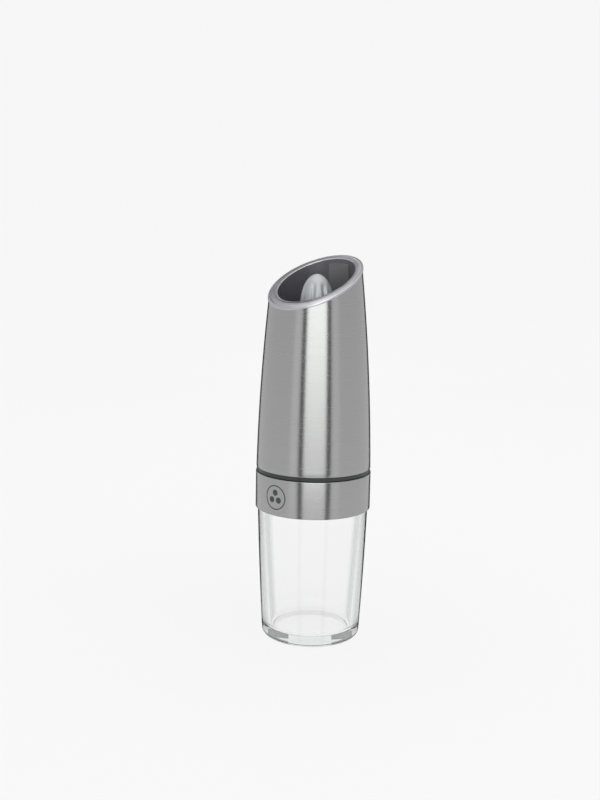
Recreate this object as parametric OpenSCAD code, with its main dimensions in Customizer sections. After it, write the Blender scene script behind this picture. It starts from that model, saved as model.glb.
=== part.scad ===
// Battery pepper mill that grinds when it is turned over.
// It stands mouth up on its jar: jar, steel collar band, battery and motor core, slanted steel shell.
// Origin: centre of the jar's base. +Z points up, and the low side of the mouth faces -Y.

/* [Jar] */
// Outer radius of the jar just under the collar
jar_r = 28.8; // [28:0.1:28.9]
// Height of the jar's shoulder, where the band starts
jar_h = 69.5; // [60:0.5:69.5]
// How much the jar narrows per millimetre below the shoulder
jar_lean = 0.03; // [0:0.005:0.04]
// Extra narrowing that bows the jar's side towards its base
jar_bow = 0.00022; // [0:0.00002:0.0003]
// Thickness of the jar's floor
jar_floor = 5.2; // [3:0.2:8]
// Thickness of the jar's wall under the collar
jar_wall = 3.1; // [2:0.1:3.4]

/* [Collar band] */
// Outer radius of the steel band
band_r = 30; // [30:0.1:31]
// Thickness of the steel band
band_wall = 0.6; // [0.4:0.1:0.6]
// Height of the band's upper edge
band_top = 88.7; // [88:0.1:88.7]

/* [Quick thread] */
// Number of lugs round the collar
lug_count = 3; // [2:1:3]
// Rise of the head in one full turn
lug_lead = 16; // [10:1:16]
// Half the angle that a lug covers
lug_half = 20; // [10:5:20]

/* [Shell] */
// Height of the shell's lower edge
shell_bottom = 91.05; // [91.05:0.05:91.3]
// Outer radius of the shell at its lower edge
shell_r0 = 29.8; // [29.8:0.1:30.4]
// Narrowing of the shell per millimetre of height
shell_lean = 0.02; // [0.01:0.002:0.02]
// Extra narrowing that bows the shell towards its mouth
shell_bow = 0.00045; // [0.0003:0.00005:0.00045]
// Thickness of the steel
steel = 0.6; // [0.4:0.1:0.6]
// Height of the mouth plane on the axis
mouth_z = 188.4; // [186:0.2:190]
// Slope of the mouth plane, rise per millimetre towards +Y
mouth_slope = 0.52; // [0.4:0.01:0.53]
// Inner radius of the mouth, on the mouth plane's axis height
mouth_r = 19.7; // [19:0.1:19.9]
// Widening of the mouth per millimetre downwards
mouth_flare = 0.065; // [0.03:0.005:0.08]
// Thickness of the bezel on the slanted rim
bezel_h = 1.4; // [1.4:0.2:3]

/* [Cells] */
// Radius of one cell
cell_r = 5.15; // [4.9:0.05:5.2]
// Length of one cell with its nub
cell_len = 44.5; // [43:0.5:44.5]
// Distance of the cells from the axis
cell_ring = 19.7; // [19.6:0.1:19.8]
// Angle between two neighbouring cells
cell_step = 32; // [31:0.5:32]

/* [Gear train] */
// Size of a tooth: pitch diameter over the number of teeth
tooth_module = 0.5; // [0.5:0.01:0.5]
// Teeth on a sun gear
sun_teeth = 12; // [12:3:12]
// Teeth on a planet gear
planet_teeth = 15; // [15:3:15]

/* [Burrs and knob] */
// Top of the setting knob's dome
knob_top = 190.8; // [186:0.2:192]
// Radius of the setting knob
knob_r = 8.6; // [8:0.1:8.7]
// Height of the knob's domed part
knob_dome = 16; // [12:0.5:18]
// Number of finger flutes round the knob
knob_flutes = 8; // [6:1:10]
// Angle of the first flute from +X
flute_turn = -67; // [-90:1:0]
// Number of grooves cut in each burr
burr_grooves = 14; // [8:1:16]

/* [Hidden] */

$fn = 64;
gap = 0.05;               // clearance between two pieces that meet
cut = 0.1;                // overrun of a cutter past the face it cuts
far = 90;                 // size of the big cutting blocks

// Container heights and radii
jar_corner = 3.4;         // rounding of the jar's lower edge
foot_recess = 0.5;        // depth of the hollow under the jar
foot_recess_r = 14;
jar_r_in = jar_r - jar_wall;
floor_round = 3;          // rounding between the jar's wall and floor
neck_r = 27.2;
neck_r_in = 24.8;
neck_top = 79;
gasket_h = 1.5;
collar_r_in = 27.35;
collar_top = band_top - 0.1;

// Quick thread
spigot_r = 25.6;
spigot_r_in = 24.3;
spigot_low = neck_top + gasket_h + 0.1;
lug_steps = 8;
lug_r_out = 27.0;
collar_lug_r = 25.9;
collar_lug_low = 84.6;
lug_gap = 0.35;
lug_h = 2;

// Core heights
flange_low = band_top + 0.2;
flange_top = 91;
flange_r = 29.6;
core_low = flange_top + gap;
frame_top = 139;
frame_r = 25.6;
tube_r = 14.2;
tube_r_in = 13.2;
floor_top = core_low + 0.85;
duct_half = 41.5;
duct_hollow = 38.5;
duct_r = 24.4;
boss_r = 1.9;
boss_ring = 22.3;
boss_angle = 35.5;
strip_h = 0.3;
deck_low = frame_top + gap;
deck_top = 142;
deck_r = 25.3;
wire_angle = 16;
wire_ring = 14.8;

// Cells stand between the lower and upper contact strips
strip_low_top = floor_top + gap + strip_h;
strip_high_low = frame_top - 0.1 - strip_h;
nub_h = 0.8;
nub_r = 1.9;
spring_room = strip_high_low - strip_low_top - cell_len;

// Motor
can_r = 12;
can_low = 99.5;
can_top = 128;
motor_ledge = 97;
pole_r = 8.2;
rotor_r = 1;
shaft_end = 135.6;

// Gearbox
ring_teeth = sun_teeth + 2 * planet_teeth;
pressure = 20;
addendum = 0.4;
dedendum = 0.6;
backlash = 0.05;
planet_ring = (sun_teeth + planet_teeth) * tooth_module / 2;
box_r = 12.6;
box_low = 130;
box_top = 146;
stage_one = 130.4;
stage_two = 137.9;
gear_h = 4.8;
carrier_r = 9.4;
pin_r = 0.8;

// Grinder
cover_top = 148;
arm_x = 18;
post_x = 15.6;
house_low = deck_top + gap;
house_top = 168;
house_r = 15.2;
house_foot_r = 24.8;
seat_z = 157.8;
burr_r = 12;
hex_r = 2.9;
journal_r = 3;
thread_r = 2;
shaft_top = 184;
bush_low = 150.3;
bush_h = 3.4;
seat_top = 154.6;
spring_top = 160.6;
cone_low = 156.2;
cone_high = 166.4;
cone_top = 167;
cone_r = 9.1;
cone_r_low = 5.8;
knob_low = 167.1;
led_y = 13.65;

// Control board and tilt switch
board_x = 18.4;
board_w = 6;
board_low = 143.4;
board_top = 144.8;
tilt_x = 21.3;
tilt_r = 2.2;
tilt_top = 155;
ball_r = 1.7;

// Mouth
liner_wall = 1.4;
liner_low = 164;
liner_floor = 1.6;
liner_hole = 15.6;
window_low = 168;
window_half = 20;
window_h = 0.55;
mouth_angle = atan(mouth_slope);

// ---- Shared shapes ----

// Radius of the shell's outer face at a height
function shell_r(z) = shell_r0 - shell_lean * (z - shell_bottom) - shell_bow * pow(z - shell_bottom, 2);

// Radius of the jar's outer face at a height
function jar_out(z) = jar_r - jar_lean * (jar_h - z) - jar_bow * pow(jar_h - z, 2);

// Radius of the mouth's inner face at a height
function mouth_in(z) = mouth_r + mouth_flare * (mouth_z - z);

// Points of an arc, from one angle to the other
function arc(x, y, r, from, to, n = 6) =
  [for (i = [0 : n]) let (a = from + (to - from) * i / n) [x + r * cos(a), y + r * sin(a)]];

// Tube between two heights
module tube(r_out, r_in, low, high) {
  difference() {
    translate([0, 0, low]) cylinder(r = r_out, h = high - low);
    translate([0, 0, low - cut]) cylinder(r = r_in, h = high - low + 2 * cut);
  }
}

// Plain disc or rod between two heights
module rod(r, low, high) {
  translate([0, 0, low]) cylinder(r = r, h = high - low);
}

// Wedge with its edge on the axis, pointing along an angle
module wedge(toward, half, low, high) {
  reach = 3 * house_foot_r;
  rotate([0, 0, toward]) translate([0, 0, low]) linear_extrude(high - low)
    polygon([[0, 0], [reach * cos(half), -reach * sin(half)], [reach, 0],
             [reach * cos(half), reach * sin(half)]]);
}

// Piece of a tube that covers an angle
module sector(r_out, r_in, low, high, toward, half) {
  intersection() {
    tube(r_out, r_in, low, high);
    wedge(toward, half, low, high);
  }
}

// Solid of revolution that follows the shell, inset by a depth, between two heights
module shell_body(inset, low, high, n = 14) {
  side = [for (i = [0 : n]) let (z = low + (high - low) * i / n) [shell_r(z) - inset, z]];
  rotate_extrude($fn = 96) polygon(concat([[0, low]], side, [[0, high]]));
}

// Cone-shaped body inside the mouth, larger by an offset, between two heights
module mouth_body(offset, low, high) {
  translate([0, 0, low])
    cylinder(r1 = mouth_in(low) + offset, r2 = mouth_in(high) + offset, h = high - low, $fn = 96);
}

// Block that covers all above the mouth plane, moved along the plane's normal
module above_mouth(shift) {
  translate([0, 0, mouth_z]) rotate([mouth_angle, 0, 0])
    translate([-far / 2, -far / 2, shift]) cube([far, far, far / 2]);
}

// Block that covers all below the mouth plane, moved along the plane's normal
module below_mouth(shift) {
  translate([0, 0, mouth_z]) rotate([mouth_angle, 0, 0])
    translate([-far / 2, -far / 2, shift - far / 2]) cube([far, far, far / 2]);
}

function unit(v) = v / norm(v);

// Points that round a corner between two straight runs
function corner(p, q, s, reach) =
  let (c = min(reach, 0.45 * norm(p - q), 0.45 * norm(s - q)),
       a = q + c * unit(p - q), b = q + c * unit(s - q))
  [for (t = [0 : 0.25 : 1]) (1 - t) * (1 - t) * a + 2 * t * (1 - t) * q + t * t * b];

// Route with rounded corners through a list of points
function route(points, reach) = concat([points[0]],
  [for (i = [1 : len(points) - 2]) each corner(points[i - 1], points[i], points[i + 1], reach)],
  [points[len(points) - 1]]);

// Direction of a path at each of its points
function headings(points) = let (last = len(points) - 1)
  [for (i = [0 : last]) unit(points[min(i + 1, last)] - points[max(i - 1, 0)])];

// A side direction carried along the path without twisting
function carried(along, side, i = 0) = i == len(along) ? [] :
  let (v = unit(side - (side * along[i]) * along[i])) concat([v], carried(along, v, i + 1));

// Round tube along a path, closed at both ends
module sweep(points, r, sides = 8) {
  along = headings(points);
  across = carried(along, [0.3, 1, 0.2]);
  last = len(points) - 1;
  pts = [for (i = [0 : last]) for (j = [0 : sides - 1]) let (a = 360 * j / sides)
    points[i] + r * (cos(a) * across[i] + sin(a) * cross(along[i], across[i]))];
  walls = [for (i = [0 : last - 1]) for (j = [0 : sides - 1]) let (k = (j + 1) % sides)
    [i * sides + j, (i + 1) * sides + j, (i + 1) * sides + k, i * sides + k]];
  polyhedron(points = pts, faces = concat(walls,
    [[for (j = [0 : sides - 1]) j], [for (j = [sides - 1 : -1 : 0]) last * sides + j]]));
}

// Wire with rounded bends
module wire(points, r) {
  sweep(route(points, 2), r);
}

// Coil spring round the Z axis
module coil(r, wire_r, low, high, turns) {
  around = 12;
  rings = turns * around;
  sweep([for (i = [0 : rings]) let (a = 360 * i / around)
    [r * cos(a), r * sin(a), low + wire_r + (high - low - 2 * wire_r) * i / rings]], wire_r, 6);
}

// Small screw that points down, with its head above a height
module screw(top, length, r = 0.95, head_r = 1.75, head_h = 1.3) {
  difference() {
    union() {
      rod(head_r, top, top + head_h);
      rod(r, top - length, top + 0.01);
    }
    for (a = [0, 90]) rotate([0, 0, a]) translate([-1, -0.2, top + head_h - 0.6]) cube([2, 0.4, 1]);
  }
}

// Tooth half angle of an involute gear at a radius
function involute(a) = tan(a) * 180 / PI - a;
function half_tooth(teeth, r, ease) =
  let (rp = teeth * tooth_module / 2, rb = rp * cos(pressure), c = min(1, rb / r))
  90 / teeth + involute(pressure) - involute(acos(c)) - ease / rp * 180 / PI;

// Outline of a gear: root, pitch circle and tip on each flank
function gear_points(teeth, root, tip, ease) =
  let (rp = teeth * tooth_module / 2, radii = [root, rp, tip])
  [for (t = [0 : teeth - 1]) for (s = [-1, 1]) for (i = [0 : 2])
    let (r = s < 0 ? radii[i] : radii[2 - i], a = 360 * t / teeth + s * half_tooth(teeth, r, ease))
    [r * cos(a), r * sin(a)]];

// Spur gear with a tooth on the +X side
module gear(teeth, low, height) {
  rp = teeth * tooth_module / 2;
  translate([0, 0, low]) linear_extrude(height)
    polygon(gear_points(teeth, rp - dedendum, rp + addendum, backlash));
}

// ---- Container ----

// Thick clear jar with a rounded base and a neck
module jar() {
  low_r = jar_out(jar_corner);
  outer = [for (i = [0 : 10]) let (z = jar_corner + (jar_h - jar_corner) * i / 10) [jar_out(z), z]];
  bend = jar_floor + floor_round;
  bend_r = jar_out(bend) - jar_wall - 1.4;
  inner = arc(bend_r - floor_round, bend, floor_round, -90, 0, 8);
  color([0.86, 0.9, 0.9, 0.35]) rotate_extrude($fn = 96) polygon(concat(
    [[0, foot_recess], [foot_recess_r, foot_recess], [foot_recess_r + foot_recess, 0]],
    arc(low_r - jar_corner, jar_corner, jar_corner, -90, -6, 5),
    outer,
    [[neck_r, jar_h], [neck_r, neck_top], [neck_r_in, neck_top], [neck_r_in, jar_h + 2],
     [jar_r_in, jar_h - 1]],
    [for (i = [8 : -1 : 0]) inner[i]],
    [[0, jar_floor]]));
}

// Stepped lug that climbs with the quick thread
module lug(toward, r_out, r_in, low) {
  step = 2 * lug_half / lug_steps;
  for (i = [0 : lug_steps - 1]) {
    a = (i + 0.5) * step - lug_half;
    rise = lug_lead * a / 360;
    sector(r_out, r_in, low + rise, low + rise + lug_h, toward + a, step / 2 + 0.05);
  }
}

// Black ring bonded to the jar's neck, with inward lugs
module jar_collar() {
  color("#26282a") union() {
    tube(band_r - band_wall - gap, collar_r_in, jar_h + 0.7, collar_top - band_wall);
    for (i = [0 : lug_count - 1])
      lug(i * 360 / lug_count, collar_r_in + 0.6, collar_lug_r, collar_lug_low);
  }
}

// Steel band over the collar, with its edges turned in
module band_sleeve() {
  lip = 1.1;
  color("#a9abad") rotate_extrude($fn = 96) polygon([
    [band_r - lip, jar_h], [band_r - 0.3, jar_h], [band_r, jar_h + 0.3], [band_r, band_top - 0.3],
    [band_r - 0.3, band_top], [band_r - lip, band_top], [band_r - lip, band_top - band_wall],
    [band_r - band_wall, band_top - band_wall], [band_r - band_wall, jar_h + band_wall],
    [band_r - lip, jar_h + band_wall]]);
}

// Flat seal between the jar's neck and the head
module jar_gasket() {
  color("#3b3b3d") tube(neck_r - 0.2, neck_r_in + 0.1, neck_top + gap, neck_top + gasket_h);
}

// ---- Core: fixed pieces ----

// Places its children at the four screw bosses in the feed ducts
module at_bosses() {
  for (side = [90, 270], turn = [-1, 1])
    rotate([0, 0, side + turn * boss_angle]) translate([boss_ring, 0, 0]) children();
}

// Black plate that shows as the ring at the seam, with feed openings and the lugged spigot
module base_flange() {
  rim_r = shell_r(flange_top) - steel - 1.3;
  color("#34373a") difference() {
    union() {
      rotate_extrude($fn = 96) polygon([[0, flange_low], [flange_r - 0.3, flange_low],
        [flange_r, flange_low + 0.3], [flange_r, flange_top - 0.2], [flange_r - 0.2, flange_top],
        [0, flange_top]]);
      tube(rim_r, rim_r - 1, flange_top - cut, flange_top + 3.4);
      tube(spigot_r, spigot_r_in, spigot_low, flange_low + cut);
      for (i = [0 : lug_count - 1])
        lug(i * 360 / lug_count, lug_r_out, spigot_r - 0.3, collar_lug_low - lug_gap - lug_h);
    }
    for (side = [90, 270])
      sector(duct_r - 0.4, tube_r + 0.3, flange_low - 1, flange_top + 1, side, 28);
    at_bosses() rod(1.05, flange_low - 1, flange_top + 1);
  }
}

// Battery frame: motor tube with its ledge, and the floor plates under the cells
module battery_frame() {
  color("#2b2d30") difference() {
    union() {
      tube(tube_r, tube_r_in, core_low, frame_top);
      tube(tube_r - 0.3, 9, motor_ledge - 2, motor_ledge);
      for (side = [0, 180])
        sector(frame_r, tube_r - 0.4, core_low, floor_top, side, 90 - duct_half - 0.2);
    }
    for (turn = [-1, 1]) rotate([0, 0, turn * wire_angle])
      translate([8, -0.9, floor_top + 0.4]) cube([tube_r - 6, 1.8, 3.2]);
  }
}

// Two walls that close the feed ducts at the front and the rear, with the screw bosses
module feed_ducts() {
  color("#2b2d30") difference() {
    union() {
      for (side = [90, 270]) difference() {
        sector(frame_r, tube_r + gap, core_low, frame_top, side, duct_half);
        sector(duct_r, tube_r, core_low - 1, frame_top + 1, side, duct_hollow);
      }
      at_bosses() rod(boss_r, core_low, frame_top);
    }
    at_bosses() rod(0.9, core_low - 1, core_low + 8);
    at_bosses() rod(0.9, frame_top - 8, frame_top + 1);
  }
}

// Places its children at each cell; side is 0 or 180, and place is -1, 0 or 1
module at_cell(side, place) {
  rotate([0, 0, side + place * cell_step]) translate([cell_ring, 0, 0]) children();
}

// Brass strips under and above the cells
module contact_strips() {
  color("#c9a25a") for (side = [0, 180], low = [floor_top + gap, strip_high_low])
    sector(22.6, 16.8, low, low + strip_h, side, 40);
}

// Springs at the flat end of each cell
module contact_springs() {
  color("#d8d8d4") for (side = [0, 180], place = [-1, 0, 1]) at_cell(side, place) {
    low = place == 0 ? strip_high_low - spring_room : strip_low_top;
    coil(2.6, 0.3, low, low + spring_room, 2);
  }
}

// Six cells, with the middle one of each group turned over
module battery_cells() {
  body = cell_len - nub_h;
  color("#c77a2c") for (side = [0, 180], place = [-1, 0, 1]) at_cell(side, place) {
    low = place == 0 ? strip_low_top : strip_low_top + spring_room;
    can = place == 0 ? low + nub_h : low;
    nub = place == 0 ? low + 0.02 : low + body - 0.1;
    rod(cell_r, can, can + body);
    rod(nub_r, nub, nub + nub_h + 0.08);
  }
}

// Plate over the cells that carries the grinder, with posts for the gearbox cover and the board
module top_deck() {
  color("#2b2d30") difference() {
    union() {
      rod(deck_r, deck_low, deck_top);
      for (s = [-1, 1]) {
        translate([s * post_x, 0, 0]) rod(2.1, deck_top - cut, box_top - gap);
        translate([tilt_x, s * 6.6, 0]) rod(1.2, deck_top - cut, board_low - gap);
      }
    }
    rod(box_r + 0.2, deck_low - 1, deck_top + 1);
    for (side = [90, 270])
      sector(duct_r - 0.4, tube_r + 0.3, deck_low - 1, deck_top + 1, side, 28);
    at_bosses() {
      rod(1.05, deck_low - 1, deck_top + 1);
      rod(1.95, deck_top - 1.5, deck_top + 1);
    }
    for (s = [-1, 1]) {
      translate([s * post_x, 0, 0]) rod(0.9, deck_top, box_top + 1);
      rotate([0, 0, s * wire_angle]) translate([wire_ring, 0, 0]) rod(0.8, deck_low - 1, deck_top + 1);
      for (x = [-17.4, 17.4]) translate([x, s * 11, 0]) rod(0.9, deck_top - 2.2, deck_top + 1);
    }
  }
}

// Drawn steel can of the motor
module motor_can() {
  color("#b9bbbd") difference() {
    rod(can_r, can_low, can_top);
    rod(can_r - 0.8, can_low - 1, can_top - 0.8);
    rod(3.05, can_top - 2, can_top + 1);
    for (y = [-8, 8]) translate([0, y, 0]) rod(0.85, can_top - 2, can_top + 1);
  }
}

// Two curved magnets inside the can
module motor_magnets() {
  color("#4a4a4c") for (side = [0, 180])
    sector(can_r - 0.8 - gap, pole_r + 0.4, 103, 124, side, 65);
}

// Plastic end of the motor that holds the brushes
module motor_end_cap() {
  color("#e6e2d6") difference() {
    union() {
      rod(can_r, motor_ledge + gap, can_low - gap);
      rod(can_r - 0.9, can_low - cut, can_low + 1.4);
    }
    rod(2.55, motor_ledge - 1, can_low + 3);
    for (s = [-1, 1]) translate([s * 4.2 - 0.8, -1.3, motor_ledge - 1]) cube([1.6, 2.6, 6]);
  }
}

// Leaf brushes on each side of the commutator
module motor_brushes() {
  color("#c9a25a") for (s = [-1, 1]) {
    translate([s * 4.2 - 0.2, -1.2, motor_ledge + 0.4]) cube([0.4, 2.4, 4.9]);
    translate([s * 3.4 - (s > 0 ? 0.75 : 0.8), -1.2, 101.9]) cube([1.55, 2.4, 0.4]);
  }
}

// Sintered bushes at both ends of the motor
module motor_bushes() {
  color("#a9773f") {
    tube(3, rotor_r + 0.04, can_top - 1.6, can_top + 1.6);
    tube(2.5, rotor_r + 0.04, motor_ledge + 0.2, can_low + 0.5);
  }
}

// Plate that joins the motor to the gearbox
module gearbox_base() {
  color("#3d4043") difference() {
    rod(box_r, can_top + gap, box_low - gap);
    rod(3.05, can_top - 1, box_low + 1);
    for (y = [-8, 8]) translate([0, y, 0]) {
      rod(0.95, can_top - 1, box_low + 1);
      rod(1.7, box_low - 1.3, box_low + 1);
    }
  }
}

// Toothed ring shared by both planetary stages
module gearbox_ring() {
  rp = ring_teeth * tooth_module / 2;
  color("#d9d6cc") difference() {
    rod(box_r, box_low, box_top - gap);
    translate([0, 0, box_low - 1]) linear_extrude(box_top - box_low + 2)
      polygon(gear_points(ring_teeth, rp - addendum, rp + dedendum, -backlash));
  }
}

// Cover of the gearbox, held by two arms
module gearbox_cover() {
  color("#3d4043") difference() {
    union() {
      rod(box_r, box_top, cover_top);
      translate([-arm_x, -3.5, box_top]) cube([2 * arm_x, 7, cover_top - box_top]);
    }
    rod(5.06, box_top - 1, cover_top + 1);
    for (x = [-post_x, post_x]) translate([x, 0, 0]) rod(1.05, box_top - 1, cover_top + 1);
  }
}

// Lip seal that keeps pepper dust out of the gearbox
module shaft_seal() {
  color("#55585a") tube(7, 5.06, cover_top + gap, cover_top + 1.3);
}

// Hopper and burr tower in one moulding
module burr_housing() {
  inner_x = 13.6;
  color("#2f3134") difference() {
    union() {
      intersection() {
        rotate_extrude() polygon([[0, house_low], [house_foot_r, house_low], [house_foot_r, 149],
          [house_r, 158], [house_r, house_top], [0, house_top]]);
        translate([-house_r, -far / 2, 0]) cube([2 * house_r, far, 200]);
      }
      for (x = [-1, 1], y = [-11, 11])
        translate([x * 17.1 - 2.3, y - 2.3, house_low]) cube([4.6, 4.6, 2]);
    }
    intersection() {
      rotate_extrude() polygon([[0, house_low - 1], [23.4, house_low - 1], [23.4, 148.6],
        [10.5, 156.6], [10.5, seat_z], [burr_r + 0.1, seat_z], [burr_r + 0.1, house_top + 1],
        [0, house_top + 1]]);
      translate([-inner_x, -far / 2, 0]) cube([2 * inner_x, far, 200]);
    }
    translate([-arm_x - 4, -5.2, house_low - 1]) cube([2 * arm_x + 8, 10.4, 8.7]);
    for (x = [-17.4, 17.4], y = [-11, 11]) translate([x, y, 0]) rod(1.05, house_low - 1, house_low + 3);
    translate([0, led_y, 0]) rod(1.32, 162, house_top + 1);
    translate([-1.2, led_y, 160.8]) cube([2.4, 4, 2.7]);
  }
  color("#2f3134") difference() {
    union() {
      rod(6.2, bush_low + 0.2, bush_low + bush_h - 0.2);
      for (s = [-1, 1])
        translate([s * 9.9 - 4.1, -1.5, bush_low + 0.2]) cube([8.2, 3, bush_h - 0.4]);
    }
    rod(4.62, bush_low - 1, bush_low + bush_h + 1);
  }
}

// Grooves that run down a burr face, on a cone through two radii
module groove_set(r_low, r_high, low, high, width, depth, lean) {
  tilt = atan((r_high - r_low) / (high - low));
  for (i = [0 : burr_grooves - 1]) rotate([0, 0, i * 360 / burr_grooves])
    translate([r_low, 0, low]) rotate([lean, tilt, 0])
      translate([-depth, -width / 2, -2]) cube([2 * depth, width, high - low + 6]);
}

// Ceramic outer burr
module burr_ring() {
  r_low = 8.4;
  r_high = cone_r + 0.25;
  color("#e9e6df") difference() {
    rod(burr_r, seat_z + gap, cone_high);
    translate([0, 0, seat_z - 0.5]) cylinder(r1 = r_low, r2 = r_high, h = cone_high - seat_z + 1);
    groove_set(r_low, r_high, seat_z, cone_high - 1.8, 0.9, 0.7, 14);
  }
}

// Ring that locks the outer burr in the tower
module ring_retainer() {
  color("#232527") difference() {
    tube(burr_r + 0.05, 10.3, cone_high + gap, house_top);
    for (a = [45, 135, 225, 315]) rotate([0, 0, a]) translate([10.9, -1, house_top - 0.7]) cube([2, 2, 1]);
  }
}

// Bronze bush that guides the drive shaft
module shaft_bush() {
  color("#a9773f") tube(4.6, journal_r + 0.05, bush_low, bush_low + bush_h);
}

// Circuit board on the deck
module control_board() {
  color("#2f6b3f") union() {
    translate([board_x, -8.2, board_low]) cube([board_w, 16.4, board_top - board_low]);
    translate([board_x + 1, -6, board_top - gap]) cube([2, 3, 1.2]);
    translate([board_x + 3.6, 4.2, board_top - gap]) cube([1.8, 3, 1]);
  }
}

// Metal tube of the tilt switch
module tilt_switch_tube() {
  color("#c8c8c4") translate([tilt_x, 0, 0]) difference() {
    rod(tilt_r, board_top + gap, tilt_top);
    rod(tilt_r - 0.4, board_top + 0.5, tilt_top - 0.5);
  }
}

// Lamp that lights the mouth
module led_lamp() {
  color("#f2f2ea") translate([0, led_y, 0]) union() {
    rod(1.27, 163, house_top - 1.3);
    translate([0, 0, house_top - 1.3]) sphere(r = 1.27, $fn = 32);
  }
}

// Clear curved piece that spreads the lamp's light
module light_guide() {
  color([0.9, 0.93, 0.95, 0.6]) sector(14.9, burr_r + 0.6, house_top + gap, house_top + 1.2, 90, 34);
}

// Two wires from the board down to the motor
module motor_wires() {
  color("#b3342c") for (s = [-1, 1]) {
    x = wire_ring * cos(wire_angle);
    y = s * wire_ring * sin(wire_angle);
    level = floor_top + 1.9;
    wire([[19.8, s * 5, board_top + 0.05], [19.8, s * 5, 145.5], [x, y, 145.2], [x, y, level],
          [6 * cos(wire_angle), 6 * s * sin(wire_angle), level],
          [4.3, s * 0.7, motor_ledge + 0.15]], 0.45);
  }
}

// Pair of thin wires from the lamp to the board
module led_wires() {
  color("#c9c4b8") for (s = [0, 1])
    wire([[-0.5 + s, led_y, 162.6], [-0.5 + s, 16.6, 162.5 - 1.3 * s], [11.2, 13.1, 161.6 - s],
          [17.2 - 0.8 * s, 5.4, 158 - 0.6 * s], [19.9 - s, 3.4, 151],
          [19.9 - s, 3.4, board_top + 0.05]], 0.35);
}

// Screws that hold the flange to the battery frame
module flange_screws() {
  color("#9a9c9e") at_bosses() mirror([0, 0, 1]) screw(-flange_low + gap, 8.2, 0.85);
}

// Screws that hold the deck to the battery frame
module deck_screws() {
  color("#9a9c9e") at_bosses() screw(deck_top - 1.45, 7, 0.85);
}

// Screws that hold the gearbox cover
module cover_screws() {
  color("#9a9c9e") for (x = [-post_x, post_x]) translate([x, 0, 0]) screw(cover_top + gap, 5.6, 0.85);
}

// Screws that hold the burr housing
module housing_screws() {
  color("#9a9c9e") for (x = [-17.4, 17.4], y = [-11, 11])
    translate([x, y, 0]) screw(house_low + 2 + gap, 4, 0.85);
}

// Screws that join the motor and the gearbox plate
module motor_screws() {
  color("#9a9c9e") for (y = [-8, 8]) translate([0, y, 0]) screw(box_low - 1.25, 3, 0.75, 1.6, 1.1);
}

// ---- Rotor ----

// Steel shaft of the motor
module motor_shaft() {
  color("#d0d2d3") rod(rotor_r, motor_ledge + 0.6, shaft_end);
}

// Slotted iron of the armature
module armature_stack() {
  color("#6f7275") difference() {
    rod(pole_r, 105, 122);
    rod(rotor_r, 104, 123);
    for (a = [60, 180, 300]) {
      sector(pole_r - 1.6, 3, 104, 123, a, 38);
      rotate([0, 0, a]) translate([5, -1, 104]) cube([5, 2, 19]);
    }
  }
}

// Copper coils in the slots of the armature
module armature_windings() {
  color("#b5652a") union() {
    for (a = [60, 180, 300]) sector(pole_r - 1.8, 3.1, 103.4, 123.6, a, 36);
    tube(pole_r - 2, 3.1, 122.1, 124);
    tube(pole_r - 2, 3.1, 103.2, 104.9);
  }
}

// Three copper bars round the motor shaft
module commutator() {
  color("#b5652a") difference() {
    tube(2.6, rotor_r, 100.9, 103);
    for (a = [0, 120, 240]) rotate([0, 0, a]) translate([2.1, -0.15, 100]) cube([2, 0.3, 4]);
  }
}

// Sun gear pressed on the motor shaft
module sun_gear() {
  color("#c9a25a") difference() {
    gear(sun_teeth, stage_one, gear_h);
    rod(rotor_r, stage_one - 1, stage_one + gear_h + 1);
  }
}

// ---- Planetary stages ----

// Places its children at one planet's axis
module at_planet(index) {
  rotate([0, 0, 120 * index]) translate([planet_ring, 0, 0]) children();
}

// Planet gear of a stage
module planet(index, low) {
  at_planet(index) difference() {
    gear(planet_teeth, low, gear_h);
    rod(pin_r + 0.06, low - 1, low + gear_h + 1);
  }
}

module first_planet_a() { color("#efe9da") planet(0, stage_one); }
module first_planet_b() { color("#efe9da") planet(1, stage_one); }
module first_planet_c() { color("#efe9da") planet(2, stage_one); }
module second_planet_a() { color("#efe9da") planet(0, stage_two); }
module second_planet_b() { color("#efe9da") planet(1, stage_two); }
module second_planet_c() { color("#efe9da") planet(2, stage_two); }

// Plate with three pins under it
module carrier(stage, plate_h) {
  plate = stage + gear_h + 0.4;
  rod(carrier_r, plate, plate + plate_h);
  for (i = [0 : 2]) at_planet(i) rod(pin_r, stage + 0.1, plate + 0.1);
}

// First carrier, with the second sun gear on top
module first_carrier() {
  plate_h = 1.5;
  color("#dcd6c6") union() {
    carrier(stage_one, plate_h);
    gear(sun_teeth, stage_one + gear_h + plate_h + 0.3, 5.6);
  }
}

// Second carrier, with the socket that turns the drive shaft
module second_carrier() {
  plate_h = 2.2;
  plate = stage_two + gear_h + 0.4;
  color("#dcd6c6") difference() {
    union() {
      carrier(stage_two, plate_h);
      rod(5, plate + plate_h - cut, cover_top + 1);
    }
    translate([0, 0, plate + 1.4]) cylinder(r = hex_r + 0.02, h = 10, $fn = 6);
  }
}

// ---- Drive shaft and burrs ----

// Steel shaft: hexagon, journal, hexagon and thread
module drive_shaft() {
  color("#c6c8ca") union() {
    translate([0, 0, 145]) cylinder(r = hex_r, h = 4.4, $fn = 6);
    rod(journal_r, 149.3, 154);
    translate([0, 0, 153.9]) cylinder(r = hex_r, h = 14.5, $fn = 6);
    rod(thread_r, 168.3, shaft_top - 0.6);
    translate([0, 0, shaft_top - 0.7]) cylinder(r1 = thread_r, r2 = thread_r - 0.6, h = 0.7);
  }
}

// Washer that the burr spring stands on
module spring_seat() {
  color("#b9bbbd") difference() {
    tube(4.5, hex_r - 0.5, 154.05, seat_top);
    translate([0, 0, 153]) cylinder(r = hex_r + 0.01, h = 3, $fn = 6);
  }
}

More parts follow.
